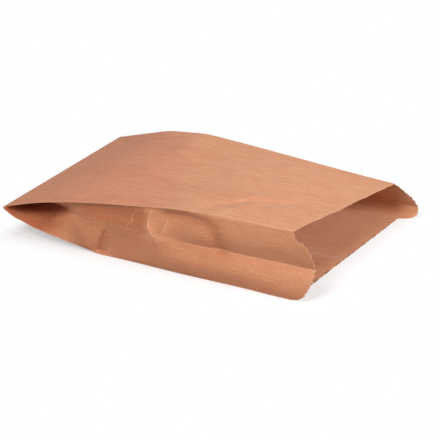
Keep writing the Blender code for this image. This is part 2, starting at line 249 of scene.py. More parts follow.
def near_top_height(size, along):
    """Near top fold: climbs fast from the closed end and levels out towards the mouth."""
    seam = size.seam_height + (size.seam_thickness - size.paper) / 2
    rise = size.near_mouth_height - size.paper / 2 - seam
    places = [size.bag_length * share for share in (0.0, 0.12, 0.23, 0.35, 0.62, 0.75, 1.0)]
    heights = [seam + rise * share for share in (0.0, 0.30, 0.50, 0.66, 0.95, 1.0, 1.0)]
    return rounded_line(along, places, heights, 0.012)


def far_top_height(size, along):
    """Far top fold: climbs to its peak, then falls straight to the mouth."""
    seam = size.seam_height + (size.seam_thickness - size.paper) / 2
    shoulder = seam + 0.80 * (size.far_peak_height - seam)
    places = (0.0, 0.58 * size.far_peak, size.far_peak, size.bag_length)
    heights = (seam, shoulder, size.far_peak_height, size.far_mouth_height - size.paper / 2)
    return rounded_line(along, places, heights, 0.012)


def bottom_height(size, along):
    """Bottom panel: flat on the table, then up to the closed end with two turns on the way."""
    seam = size.seam_height - (size.seam_thickness - size.paper) / 2
    flat = size.paper / 2
    places = (0.0, size.end_turn, size.first_crease, size.floor_contact, size.bag_length)
    line = rounded_line(along, places, (seam, 0.78 * seam, 0.50 * seam, flat, flat), 0.005)
    return np.where(along > size.floor_contact + 0.005, flat, line)


def crease_points(size, along):
    """Middle of the paper at the six creases, as (6, n, 2) values of Y and Z.

    A gusset half is a straight strip, so its centre crease lies in from the edge by the square root
    of its width squared less half the opening squared. Smooth steps along the bag take that to the
    near tuck or the far bulge at the mouth.
    """
    near_top = near_top_height(size, along)
    far_top = far_top_height(size, along)
    bottom = bottom_height(size, along)
    opening = np.clip((along - size.seam_strip) / size.pocket_ramp, 0.0, 1.0)
    drawn_in = size.mouth_narrowing * ease((along - size.far_peak) / (size.bag_length - size.far_peak))
    far_edge = size.panel_width - drawn_in
    far_fold = (far_edge + size.panel_width) / 2

    taut = np.sqrt(np.maximum(size.gusset_half ** 2 - ((near_top - bottom) / 2) ** 2, 1e-8))
    gathered = taut * (1.0 - size.near_gather * ease_over(along, NEAR_GATHERS))
    slack = ease((along - NEAR_SLACKENS_FROM) / (size.bag_length - NEAR_SLACKENS_FROM))
    tucked = ease((along - NEAR_TUCKS_FROM) / (size.bag_length - NEAR_TUCKS_FROM))
    near_in = opening * (gathered * (1.0 - slack) + size.near_tuck * tucked) - middle_relief(size, along)
    lift = size.near_lift * (ease_over(along, NEAR_LIFTS) - ease_over(along, NEAR_SINKS))
    near_middle = bottom + (near_top - bottom) * (0.5 + lift) - size.near_drop * slack

    taut = np.sqrt(np.maximum(size.gusset_half ** 2 - ((far_top - bottom) / 2) ** 2, 1e-8))
    popped = ease_over(along, FAR_POPS_OUT)
    far_in = opening * taut * (1.0 - popped) - size.far_bulge * popped
    far_middle = (far_top + bottom) / 2 - size.far_sag * popped

    zero = np.zeros_like(along)
    bent_in = ease_over(along, NEAR_EDGE_IN) - ease_over(along, NEAR_EDGE_STRAIGHT)
    near_edge = 0.0035 * bent_in - 0.0025 * ease_over(along, NEAR_EDGE_OUT)
    return np.array([
        np.stack((zero, near_top), axis=-1),
        np.stack((far_edge, far_top), axis=-1),
        np.stack((far_fold - far_in, far_middle), axis=-1),
        np.stack((np.full_like(along, size.panel_width), bottom), axis=-1),
        np.stack((near_edge, bottom), axis=-1),
        np.stack((near_in, near_middle), axis=-1),
    ])


# Sharp creases of the near gusset, which fall off as a cusp: points (along the bag, down from the
# top fold), height out of the paper, how far it falls off before and after the line, and how much the
# line is lightened, as rubbing and painted highlight. Before is the closed end's side of a crease that runs
# down.
SHARP_CREASES = (
    (
        "arc",
        (
            (0.2430, 0.003), (0.2370, 0.024), (0.2368, 0.036),
            (0.2400, 0.046), (0.2440, 0.051), (0.2530, 0.0530),
        ),
        0.0046, 0.026, 0.0095, 1.0,
    ),
    ("arc end", ((0.2500, 0.0525), (0.2525, 0.0610)), 0.0008, 0.003, 0.003, 0.8),
    (
        "partner",
        ((0.2650, 0.0160), (0.2655, 0.0232), (0.2625, 0.0327), (0.2575, 0.0460)),
        0.0018, 0.004, 0.008, 0.8,
    ),
    (
        "zigzag",
        (
            (0.2160, 0.014), (0.2100, 0.024), (0.2110, 0.0337),
            (0.2025, 0.044), (0.2030, 0.0514), (0.1940, 0.0621),
        ),
        0.0012, 0.004, 0.003, 0.7,
    ),
    (
        "first kink",
        ((0.0634, 0.0705), (0.0581, 0.080), (0.0544, 0.0914), (0.0503, 0.102)),
        -0.0034, 0.005, 0.008, 0.0,
    ),
    (
        "second kink",
        ((0.1620, 0.0680), (0.1600, 0.0750), (0.1550, 0.090), (0.1517, 0.102)),
        -0.0060, 0.0028, 0.0120, 0.0,
    ),
    ("tick", ((0.1710, 0.0880), (0.1711, 0.0965)), 0.0006, 0.0015, 0.0015, 0.8),
    ("tuck line", ((0.1299, 0.0424), (0.1627, 0.0439), (0.1859, 0.0490)), 0.0007, 0.003, 0.003, 0.3),
)
# Soft creases of the near gusset, which fall off as a bell: points, height and spread
SOFT_CREASES = (
    (
        "valley",
        (
            (0.2687, 0.0100), (0.2985, 0.0085), (0.3195, 0.0130),
            (0.3362, 0.0205), (0.3432, 0.0346), (0.3465, 0.0490),
        ),
        -0.0036, 0.0110,
    ),
    ("swell", ((0.2600, 0.034), (0.3050, 0.040)), 0.0018, 0.0130),
    ("lower hollow", ((0.1640, 0.098), (0.1880, 0.064)), -0.0014, 0.0080),
    ("lower swell", ((0.1350, 0.090), (0.1250, 0.060)), 0.0016, 0.0120),
    ("first hollow", ((0.0600, 0.098), (0.0900, 0.068)), -0.0012, 0.0080),
    ("long roll", ((0.2600, 0.078), (0.4300, 0.080)), 0.0008, 0.0100),
)
# Grooves of the near gusset with painted shade, darker where shade falls in them: points, strength and
# spread
SHADED_GROOVES = (
    (SOFT_CREASES[0][1], 0.42, 0.0110),
    (((0.1690, 0.0640), (0.1640, 0.0780), (0.1560, 0.1000)), 0.34, 0.0085),
    (((0.0680, 0.0700), (0.0620, 0.0850), (0.0540, 0.1000)), 0.30, 0.0080),
    (((0.1500, 0.0010), (0.3000, 0.0010)), 0.45, 0.0030),
)
# Soft creases of the top panel: points (along the bag, across from the near fold), height and spread
TOP_CREASES = (
    ("diagonal", ((0.2930, 0.004), (0.3344, 0.0565), (0.3493, 0.0918), (0.4052, 0.1136)), -0.0022, 0.0080),
    ("band", ((0.1346, 0.280), (0.1946, 0.154), (0.2562, 0.012)), 0.0007, 0.0260),
    ("near dip", ((0.0300, 0.010), (0.1500, 0.034)), -0.0010, 0.0150),
)


def away_from_path(along, down, path):
    """Shortest distance to a chain of straight pieces, the share of its way, and its side.

    The side is above 0 on the mouth's side of a path that runs down the gusset.
    """
    best = np.full_like(along, 1e3)
    way = np.zeros_like(along)
    side = np.zeros_like(along)
    count = len(path) - 1
    for piece, (start, end) in enumerate(zip(path, path[1:])):
        step = (end[0] - start[0], end[1] - start[1])
        run = ((along - start[0]) * step[0] + (down - start[1]) * step[1]) / (step[0] ** 2 + step[1] ** 2)
        done = np.clip(run, 0.0, 1.0)
        away = np.hypot(along - start[0] - done * step[0], down - start[1] - done * step[1])
        turn = step[1] * (along - start[0]) - step[0] * (down - start[1])
        way = np.where(away < best, (piece + done) / count, way)
        side = np.where(away < best, turn, side)
        best = np.minimum(best, away)
    return best, way, side


def crease_relief(along, down):
    """Sum over the creases of height times a falling curve of the distance from the line.

    A sharp crease falls as e to the minus distance over reach, and a soft one as e to the minus
    square of distance over spread.
    """
    total = np.zeros_like(along)
    for _, path, height, before, after, _ in SHARP_CREASES:
        away, _, side = away_from_path(along, down, path)
        total += height * np.exp(-away / np.where(side > 0, after, before))
    for _, path, height, spread in SOFT_CREASES:
        away, _, _ = away_from_path(along, down, path)
        total += height * np.exp(-(away / spread) ** 2)
    return total


def crease_lines(along, down):
    """Distance across the nearest lightened crease, below 0 on its closed-end side, and the strength of its
    rubbing and painted highlight.
    """
    nearest = np.full_like(along, 1.0)
    across = np.full_like(along, 1.0)
    strength = np.zeros_like(along)
    for _, path, _, _, _, rubbed_and_highlit in SHARP_CREASES:
        if rubbed_and_highlit > 0:
            away, way, side = away_from_path(along, down, path)
            nearer = away < nearest
            fade = ease(way / 0.10) * ease((1.0 - way) / 0.20)
            across = np.where(nearer, np.where(side > 0, away, -away), across)
            near_line = np.clip((0.0030 - away) / 0.0012, 0.0, 1.0)
            strength = np.where(nearer, rubbed_and_highlit * fade * near_line, strength)
            nearest = np.minimum(nearest, away)
    return across, strength


def middle_relief(size, along):
    """How far the creases push the near gusset's centre fold outwards."""
    relief = crease_relief(along, np.full_like(along, size.gusset_half))
    return relief * ease((along - size.cavity_start) / CREASES_START)


def cockle(along, arc, height):
    """Slow unevenness: five crossed sine waves, long along the bag and short across it."""
    waves = (
        (31.0, 62.0, 0.4, 1.00),
        (47.0, -88.0, 2.1, 0.70),
        (19.0, 131.0, 4.4, 0.60),
        (83.0, 47.0, 1.3, 0.45),
        (11.0, -214.0, 3.6, 0.35),
    )
    return height * sum(part * np.sin(a * along + b * arc + phase) for a, b, phase, part in waves)


def panel_bulge(size, panel, share, along, chord):
    """How far the paper stands out from the straight line between its two creases.

    Slack paper makes a parabola, 4 times share times 1 less share, whose rise is the square root of
    3/8 of chord times slack. The creases, waves and unevenness of each panel are added to it.
    """
    arch = 4.0 * share * (1.0 - share)
    slack = np.maximum(size.gusset_half - chord, 0.0)
    opening = np.clip((along - size.pocket_ramp - size.seam_strip) / size.pocket_ramp, 0.0, 1.0)
    sagitta = np.sqrt(0.375 * chord * slack) * opening
    open_part = ease((along - size.cavity_start) / size.floor_contact)
    edge_fade = np.minimum(1.0, 6.0 * share * (1.0 - share))

    at_mouth = ease((along - 0.6 * size.bag_length) / (0.4 * size.bag_length))
    wave = size.mouth_wave * np.sin(3.25 * math.pi * share) * np.exp(-2.0 * share) * (1.0 - share)
    top = size.top_crown * open_part * arch * (1.0 - 0.8 * at_mouth) + wave * at_mouth
    across = share * size.panel_width
    for _, path, height, spread in TOP_CREASES:
        away, _, _ = away_from_path(along, across, path)
        top = top + height * np.exp(-(away / spread) ** 2) * edge_fade * open_part
    top = top + cockle(along, across, size.cockle) * edge_fade * open_part

    down = np.where(panel == NEAR_UPPER, 1.0 - share, 2.0 - share) * size.gusset_half
    clear = 0.30 - 0.20 * ease_over(along, LOWER_CREASES_WIDEN)
    inside_folds = np.where(panel == NEAR_UPPER, ease(down / CREASES_BELOW_FOLD), ease(share / clear))
    relief = crease_relief(along, down) * inside_folds * ease((along - size.cavity_start) / CREASES_START)
    relief = relief - middle_relief(size, along) * np.where(panel == NEAR_UPPER, 1.0 - share, share)
    waver = cockle(along, 1.0 + down, 0.8 * size.cockle) * edge_fade * open_part
    outwards = ease_over(along, NEAR_SWELLS_OUT)
    hollow = 0.27 * sagitta * ease_over(along, NEAR_HOLLOWS) * 6.75 * share ** 2 * (1.0 - share)
    upper = sagitta * outwards * arch - hollow * (1.0 - outwards)
    lower = sagitta * (0.25 + 0.35 * ease_over(along, LOWER_FILLS)) * arch
    near = np.where(panel == NEAR_UPPER, upper, lower) + relief + waver
    far = np.minimum(sagitta, 0.006) * arch
    far = far + cockle(along, 2.0 + share * size.gusset_half, size.cockle) * edge_fade * open_part

    is_near = (panel == NEAR_UPPER) | (panel == NEAR_LOWER)
    is_far = (panel == FAR_UPPER) | (panel == FAR_LOWER)
    return np.where(panel == TOP_PANEL, top, np.where(is_far, far, np.where(is_near, near, 0.0)))


def unit(vectors):
    """Each vector over its own length."""
    return vectors / np.maximum(np.linalg.norm(vectors, axis=-1, keepdims=True), 1e-12)


def quarter_turn(direction):
    """From along the paper to out of the bag."""
    return np.stack((-direction[..., 1], direction[..., 0]), axis=-1)


def section(size, panel, share, is_tip, along, side):
    """Y and Z of points on one face of the paper: side is 1 outside and -1 inside.

    A panel runs between the points where its own face leaves the two folds. Inside a fold that is
    where the two faces meet, half a thickness times the tangent of half the turn back from the
    crease, and outside it is square to the crease.
    """
    index = np.arange(len(panel))
    creases = crease_points(size, along)
    before, start, end, after = (creases[(panel + step) % PANEL_COUNT, index] for step in (-1, 0, 1, 2))
    chord = np.linalg.norm(end - start, axis=-1)
    d_before, d_here, d_after = unit(start - before), unit(end - start), unit(after - end)
    n_before, n_here = quarter_turn(d_before), quarter_turn(d_here)
    half = size.paper / 2

    def retreat(first, second):
        cross = first[:, 0] * second[:, 1] - first[:, 1] * second[:, 0]
        dot = np.clip(np.sum(first * second, axis=-1), -0.99999, 1.0)
        inside = np.where(side * cross > 0, half * np.sqrt((1 - dot) / (1 + dot)), 0.0)
        return np.minimum(inside, 0.4 * chord)

    start_back = (retreat(d_before, d_here) + size.fold_land)[:, None]
    end_back = (retreat(d_here, d_after) + size.fold_land)[:, None]
    first = start + side * half * n_here + d_here * start_back
    last = end + side * half * n_here - d_here * end_back
    bulge = panel_bulge(size, panel, share, along, chord)[:, None]
    points = first + (last - first) * share[:, None] + n_here * bulge

    bisector = n_before + n_here
    reach = np.linalg.norm(bisector, axis=-1)
    cross = d_before[:, 0] * d_here[:, 1] - d_before[:, 1] * d_here[:, 0]
    away = np.where(side * cross > 0, 2 * half / np.maximum(reach, 0.01), half)
    tips = start + side * unit(bisector) * away[:, None]
    points = np.where(is_tip[:, None], tips, points)

    if side > 0:
        under = (panel == BOTTOM_PANEL) | (is_tip & (panel == NEAR_LOWER))
        points[:, 1] -= np.where(under & (along <= size.flap_width), size.flap_thickness, 0.0)
    else:
        from_near = (1.0 - share) * size.panel_width
        on_lap = np.abs(from_near - size.lap_place - size.lap_width / 2) <= size.lap_width / 2 + 1e-6
        points[:, 1] += np.where((panel == BOTTOM_PANEL) & on_lap & ~is_tip, size.paper, 0.0)
    return points


def sheet_columns(size, steps):
    """Columns round the bag: each fold's tip, then the shares of its panel, closer near the folds."""
    widths = [size.panel_width] + [size.gusset_half] * 2 + [size.panel_width] + [size.gusset_half] * 2
    near_fold = np.array((0.0004, 0.0009, 0.0015))
    panels, shares, tips, arcs = [], [], [], []
    start = 0.0
    for panel, (width, count) in enumerate(zip(widths, steps)):
        places = np.linspace(0.0, 1.0, count + 1)[1:-1]
        if panel == BOTTOM_PANEL:
            low = 1.0 - (size.lap_place + size.lap_width) / width
            high = 1.0 - size.lap_place / width
            edge = size.paper / width
            near = (np.abs(places - low) < 0.002) | (np.abs(places - high) < 0.002)
            places = np.concatenate((places[~near], (low - edge, low, high, high + edge)))
        extra = near_fold / width
        places = places[(places > extra[-1] * 1.3) & (places < 1.0 - extra[-1] * 1.3)]
        places = np.sort(np.concatenate(((0.0, 1.0), extra, 1.0 - extra, places)))
        panels.append(np.full(len(places) + 1, panel))
        shares.append(np.concatenate(((0.0,), places)))
        tips.append(np.concatenate(((True,), np.zeros(len(places), bool))))
        arcs.append(start + width * np.concatenate(((0.0,), places)))
        start += width
    return np.concatenate(panels), np.concatenate(shares), np.concatenate(tips), np.concatenate(arcs)


# Near lip's cut: share of the way down the near gusset, and share of the lip's reach there
NEAR_LIP_CUT = (
    (0.0, 0.0), (0.117, 0.17), (0.124, 0.49), (0.186, 0.67), (0.270, 0.85), (0.363, 0.96), (0.470, 0.99),
    (0.580, 1.0), (0.660, 0.98), (0.752, 0.90), (0.853, 0.75), (0.940, 0.55), (0.980, 0.32), (1.0, 0.05),
)


def lip_reach(size, panel, share, is_tip):
    """How far the cut lies past the corners: a measured line near, and powers of the distance far."""
    near_down = np.where(panel == NEAR_UPPER, 1.0 - share, 2.0 - share) / 2
    near_down = np.where(is_tip & (panel == NEAR_UPPER), 0.5, near_down)
    far_down = np.where(panel == FAR_UPPER, share, 1.0 + share) / 2
    far_down = np.where(is_tip & (panel == FAR_LOWER), 0.5, far_down)
    near = size.near_lip * np.interp(near_down, *np.transpose(NEAR_LIP_CUT))
    middle = size.far_lip_middle
    power = np.where(far_down < middle, 2.0, 2.4)
    away = np.where(far_down < middle, 1.0 - far_down / middle, (far_down - middle) / (1.0 - middle))
    far = size.far_lip * (1.0 - away ** power)
    on_near = (panel == NEAR_UPPER) | ((panel == NEAR_LOWER) & ~is_tip)
    on_far = ((panel == FAR_UPPER) & ~is_tip) | (panel == FAR_LOWER)
    return np.where(on_near, near, np.where(on_far, far, 0.0))


def ring_places(size):
    """Places of the rings along the bag, closest over the creased part of the near gusset."""
    open_end = size.seam_strip + size.pocket_ramp
    spans = [
        np.array([0.0, 0.0006, 0.0015, size.seam_strip, open_end, size.cavity_start, 0.0115, 0.017, 0.021]),
        np.array([size.flap_width, size.flap_width + size.paper]),
    ]
    for start, end, step in (
        (0.0285, 0.0450, 0.0040),
        (0.0480, 0.0720, 0.0020),
        (0.0750, 0.1180, 0.0036),
        (0.1215, 0.1500, 0.0027),
        (0.1515, 0.1730, 0.0013),
        (0.1750, 0.2220, 0.0019),
        (0.2233, 0.2700, 0.00095),
        (0.2720, 0.3450, 0.0022),
        (0.3500, size.bag_length - 0.0140, 0.0050),
        (size.bag_length - 0.0090, size.bag_length - 0.0028, 0.0031),
    ):
        spans.append(np.linspace(start, end, round((end - start) / step) + 1))
    return np.concatenate(spans)


def soften(points, weight, rounds):
    """Average each point with its neighbours round the bag, again and again, by its own weight."""
    for _ in range(rounds):
        middle = (np.roll(points, 1, axis=1) + np.roll(points, -1, axis=1)) / 2
        points = points + weight * (middle - points)
    return points


def sheet_face(size, side, columns, rings, cut=False):
    """One face of the sheet as a (rings, columns, 3) grid, with its flat coordinates and surface tones.

    X is the ring's place plus the lip's reach times a smooth step up to the cut, with the skew of the
    closed end added. Y and Z are the section's at that place, averaged a little round the folds.
    With cut, the one ring is the mouth's edge: triangle-wave teeth with a finer raggedness on them.
    """
    panel, share, is_tip, arc = columns
    station, column = np.meshgrid(rings, np.arange(len(panel)), indexing="ij")
    lip = lip_reach(size, panel, share, is_tip)[column]
    stretch = ease((station - (size.bag_length - size.lip_blend)) / size.lip_blend)
    phase = (arc[column] / size.tooth_pitch) % 1.0
    tooth = size.tooth_depth * np.abs(2.0 * phase - 1.0)
    ragged = 0.00035 * (np.sin(arc * 611.0) + np.sin(arc * 1373.0 + 1.0))[column]
    along = station + lip * stretch - (tooth + ragged) * cut
    flat = (panel[column].ravel(), share[column].ravel(), is_tip[column].ravel(), along.ravel())
    section_points = section(size, *flat, side).reshape(station.shape + (2,))

    soft_part = ease_over(station, SOFT_FOLD_IN) * (1.0 - ease_over(station, SOFT_FOLD_OUT))
    from_middle = np.abs(arc[column] - (3 * size.gusset_half + 2 * size.panel_width))
    weight = (0.5 * soft_part * np.exp(-(from_middle / 0.010) ** 2))[..., None]
    section_points = soften(section_points, weight, 40)
    firm = np.where(section_points[..., 1:] < 0.0012, 0.0, 0.35) * (station > size.floor_contact)[..., None]
    section_points = soften(section_points, firm, 1)

    off_middle = 0.5 - section_points[..., 0] / size.panel_width
    skew = size.seam_skew * off_middle * (1.0 - along / size.bag_length)
    grid = np.concatenate(((along + skew)[..., None], section_points), axis=-1)
    if side > 0:
        closed = np.clip(1.0 - station / 0.0015, 0.0, 1.0)[..., None] ** 2
        middle = size.seam_height - size.flap_thickness / 2
        grid[..., 2:] += (middle - grid[..., 2:]) * 0.45 * closed

    tones = surface_tones(size, panel[column], share[column], along, station)
    chart = np.stack((along, arc[column] + (0.0 if side > 0 else INNER_CHART)), axis=-1)
    return grid.reshape(-1, 3), np.concatenate((chart, tones), axis=-1).reshape(-1, 8)


def surface_tones(size, panel, share, along, station):
    """Six values: lightening of fold, crease and cut, distance across the crease, and redder and darker
    painted shade.

    Fold and cut lightening is a bell of the distance from a fold or from the cut; on folds and creases it
    is rubbing and painted highlight, on the cut rubbing. The redder and darker painted shade are products of
    smooth steps along the bag and down the gusset, and the darker one is the largest of its parts.
    """
    widths = np.array([size.panel_width, size.gusset_half, size.gusset_half] * 2)
    from_fold = np.minimum(share, 1.0 - share) * widths[panel]
    on_near = (panel == NEAR_UPPER) | (panel == NEAR_LOWER)
    # Folds lightened as rubbing and painted highlight, less on the near gusset towards the closed end
    rubbed_and_highlit = np.where(on_near, 0.25 + 0.75 * ease_over(along, NEAR_FOLDS_RUBBED_AND_HIGHLIT), 1.0)
    fold = np.exp(-(from_fold / 0.0012) ** 2) * rubbed_and_highlit
    down = np.where(panel == NEAR_UPPER, 1.0 - share, 2.0 - share) * size.gusset_half
    across, strength = crease_lines(along, down)
    edge = np.exp(-((size.bag_length - station) / 0.0012) ** 2)

    # Painted shade: redder on the top panel's part that slopes to the closed end and along its near fold,
    # and over the near gusset, most at its lower edge
    over_top = share * size.panel_width
    band = np.interp(over_top, (0.012, 0.154, 0.280), (0.2562, 0.1946, 0.1346))
    rosy_shade_top = ease((band - along) / 0.055 + 0.5)
    near_band = np.exp(-(over_top / 0.022) ** 2) * (1.0 - ease_over(along, NEAR_FOLD_SHADE))
    low_side = ease((down - 0.070) / 0.034) * ease_over(along, LOW_SIDE_SHADE)
    rosy_shade = np.where(panel == TOP_PANEL, np.minimum(0.90 * rosy_shade_top + 0.9 * near_band, 1.0), 0.0)
    rosy_shade = np.where(on_near, 0.45 + 0.55 * low_side, rosy_shade)
    # Painted shade: darker by the closed end, where the gusset is held in, over the near side towards the
    # closed end, and in its grooves
    at_end = np.where(panel == NEAR_UPPER, 0.30, 1.0) * (1.0 - ease_over(along, CLOSED_END_SHADE))
    held_in = ease_over(along, HELD_IN_SHADE) * (1.0 - ease_over(along, HELD_IN_SHADE_ENDS))
    deep_shade = np.maximum(at_end, 0.78 * held_in * (1.0 - ease((down - 0.036) / 0.042)))
    deep_shade = np.maximum(deep_shade, 0.10 * (1.0 - ease_over(along, WHOLE_SIDE_SHADE)))
    for path, darkness, spread in SHADED_GROOVES:
        away, _, _ = away_from_path(along, down, path)
        deep_shade = np.maximum(deep_shade, darkness * np.exp(-(away / spread) ** 2))
    deep_shade = np.where(on_near, deep_shade, 0.0)
    return np.stack((fold, np.where(on_near, strength, 0.0), edge, across, rosy_shade, deep_shade), axis=-1)


def band_faces(first_row, columns, rows, outward):
    """Quads of a closed grid: each corner index is the row's start plus the column, wrapped round."""
    row, column = np.meshgrid(np.arange(rows - 1), np.arange(columns), indexing="ij")
    after = (column + 1) % columns
    here, ahead = row * columns, (row + 1) * columns
    corners = (here + column, ahead + column, ahead + after, here + after)
    faces = np.stack(corners, axis=-1).reshape(-1, 4) + first_row
    return faces if outward else faces[:, ::-1]


def stitch_faces(coarse_start, coarse, fine_start, fine, outward):
    """Triangles between two rings with different columns, from where each column falls in the other.

    Each fine step joins the last coarse column before it, and each coarse step the next fine one.
    """
    wide, narrow = len(coarse), len(fine)
    steps = np.arange(narrow)
    last = np.searchsorted(coarse, fine, side="right") - 1
    first = np.stack((coarse_start + last, fine_start + steps, fine_start + (steps + 1) % narrow), axis=-1)
    steps = np.arange(wide)
    ends = np.append(coarse[1:], coarse[0] + PANEL_COUNT)
    met = np.searchsorted(np.append(fine, fine[0] + PANEL_COUNT), ends, side="left") % narrow
    second = np.stack((coarse_start + steps, fine_start + met, coarse_start + (steps + 1) % wide), axis=-1)
    faces = np.concatenate((first, second))
    return faces if outward else faces[:, ::-1]


def build_sheet(size):
    """The whole sheet as one closed shell: outer face, inner face, cut edge and closed end.

    Both faces are grids of rings and columns. The last rings join finer rings along the cut.
    """
    coarse = sheet_columns(size, RING_STEPS)
    fine = sheet_columns(size, CUT_STEPS)
    rings = ring_places(size)
    wide, narrow = len(coarse[0]), len(fine[0])
    places = [panel + np.where(is_tip, -0.001, share * 0.99) for panel, share, is_tip, _ in (coarse, fine)]

    points, values, quads, triangles, caps, rims = [], [], [], [], [], []
    start = 0
    for side in (1, -1):
        kept = rings if side > 0 else rings[rings >= size.cavity_start - 1e-9]
        cut = np.array([size.bag_length])
        for columns, rows, is_cut in ((coarse, kept, False), (fine, cut, True)):
            grid, value = sheet_face(size, side, columns, rows, is_cut)
            points.append(grid)
            values.append(value)
        quads.append(band_faces(start, wide, len(kept), side > 0))
        last = start + (len(kept) - 1) * wide
        rims.append(start + len(kept) * wide)
        triangles.append(stitch_faces(last, places[0], rims[-1], places[1], side > 0))
        ring = list(range(start, start + wide))
        caps.append(ring if side > 0 else ring[::-1])
        start += len(kept) * wide + narrow
    column = np.arange(narrow)
    after = (column + 1) % narrow
    quads.append(np.stack((rims[0] + column, rims[1] + column, rims[1] + after, rims[0] + after), axis=-1))
    points = np.concatenate(points) + np.array(size.place)
    values = np.concatenate(values)
    quads = np.concatenate(quads)
    triangles = np.concatenate(triangles)

    mesh = bpy.data.meshes.new("kraft_sheet")
    mesh.from_pydata(points.tolist(), [], quads.tolist() + triangles.tolist() + caps)
    corner = np.empty(len(mesh.loops), dtype=np.int32)
    mesh.loops.foreach_get("vertex_index", corner)
    chart = values[corner, :2].astype(np.float32)
    around = 2 * size.panel_width + 4 * size.gusset_half
    base = np.where(chart[:, 1] < INNER_CHART - 0.1, 0.0, INNER_CHART)
    small_faces = len(quads) + len(triangles)
    face_sizes = np.concatenate((np.full(len(quads), 4), np.full(len(triangles), 3)))
    face = np.repeat(np.arange(small_faces), face_sizes)
    arc = chart[:len(face), 1] - base[:len(face)]
    high = np.zeros(small_faces)
    np.maximum.at(high, face, arc)
    wraps = (high[face] - arc) > around / 2
    chart[:len(face), 1] += np.where(wraps, around, 0.0)
    mesh.uv_layers.new(name="sheet").uv.foreach_set("vector", chart.ravel())
    # Attributes: fold, crease and cut lightening as rubbing and painted highlight; crease distance with the
    # redder and darker painted shade
    for name, first in (("wear_and_highlight", 2), ("tone", 5)):
        attribute = mesh.attributes.new(name, "FLOAT_VECTOR", "POINT")
        attribute.data.foreach_set("vector", values[:, first:first + 3].astype(np.float32).ravel())
    mesh.shade_smooth()
    mesh.set_sharp_from_angle(angle=math.radians(48.0))
    return mesh


# Paper material


class NodeMaker:
    """Adds nodes to the emptied tree of a material or world, in columns, and links them."""

    def __init__(self, owner):
        owner.use_nodes = True
        self.tree = owner.node_tree
        self.tree.nodes.clear()
        self.count = 0

    def add(self, kind, links=None, **values):
        node = self.tree.nodes.new(kind)
        node.location = (-1800 + 180 * (self.count % 9), 500 - 260 * (self.count // 9))
        self.count += 1
        for name, value in values.items():
            setattr(node, name, value)
        for name, value in (links or {}).items():
            socket = node.inputs[name]
            if hasattr(value, "links"):
                self.tree.links.new(value, socket)
            else:
                socket.default_value = value
        return node

    def maths(self, operation, first, second=0.0):
        return self.add("ShaderNodeMath", {0: first, 1: second}, operation=operation).outputs[0]

    def blend(self, factor, first, second, blend_type="MIX"):
        links = {"Factor": factor, 6: first, 7: second}
        return self.add("ShaderNodeMix", links, data_type="RGBA", blend_type=blend_type).outputs[2]

    def ramp(self, value, low, high):
        return self.add("ShaderNodeMapRange", {"Value": value, "From Min": low, "From Max": high}).outputs[0]

    def noise(self, vector, scale, detail, rough=0.5):
        links = {"Vector": vector, "Scale": scale, "Detail": detail, "Roughness": rough}
        return self.add("ShaderNodeTexNoise", links).outputs[0]

    def stretched(self, vector, scale):
        return self.add("ShaderNodeMapping", {"Vector": vector, "Scale": scale}).outputs[0]

    def reads(self, name):
        node = self.add("ShaderNodeAttribute", attribute_name=name, attribute_type="GEOMETRY")
        return self.add("ShaderNodeSeparateXYZ", {"Vector": node.outputs["Vector"]}).outputs

    def vector_maths(self, operation, first, second=(0.0, 0.0, 0.0)):
        return self.add("ShaderNodeVectorMath", {0: first, 1: second}, operation=operation).outputs


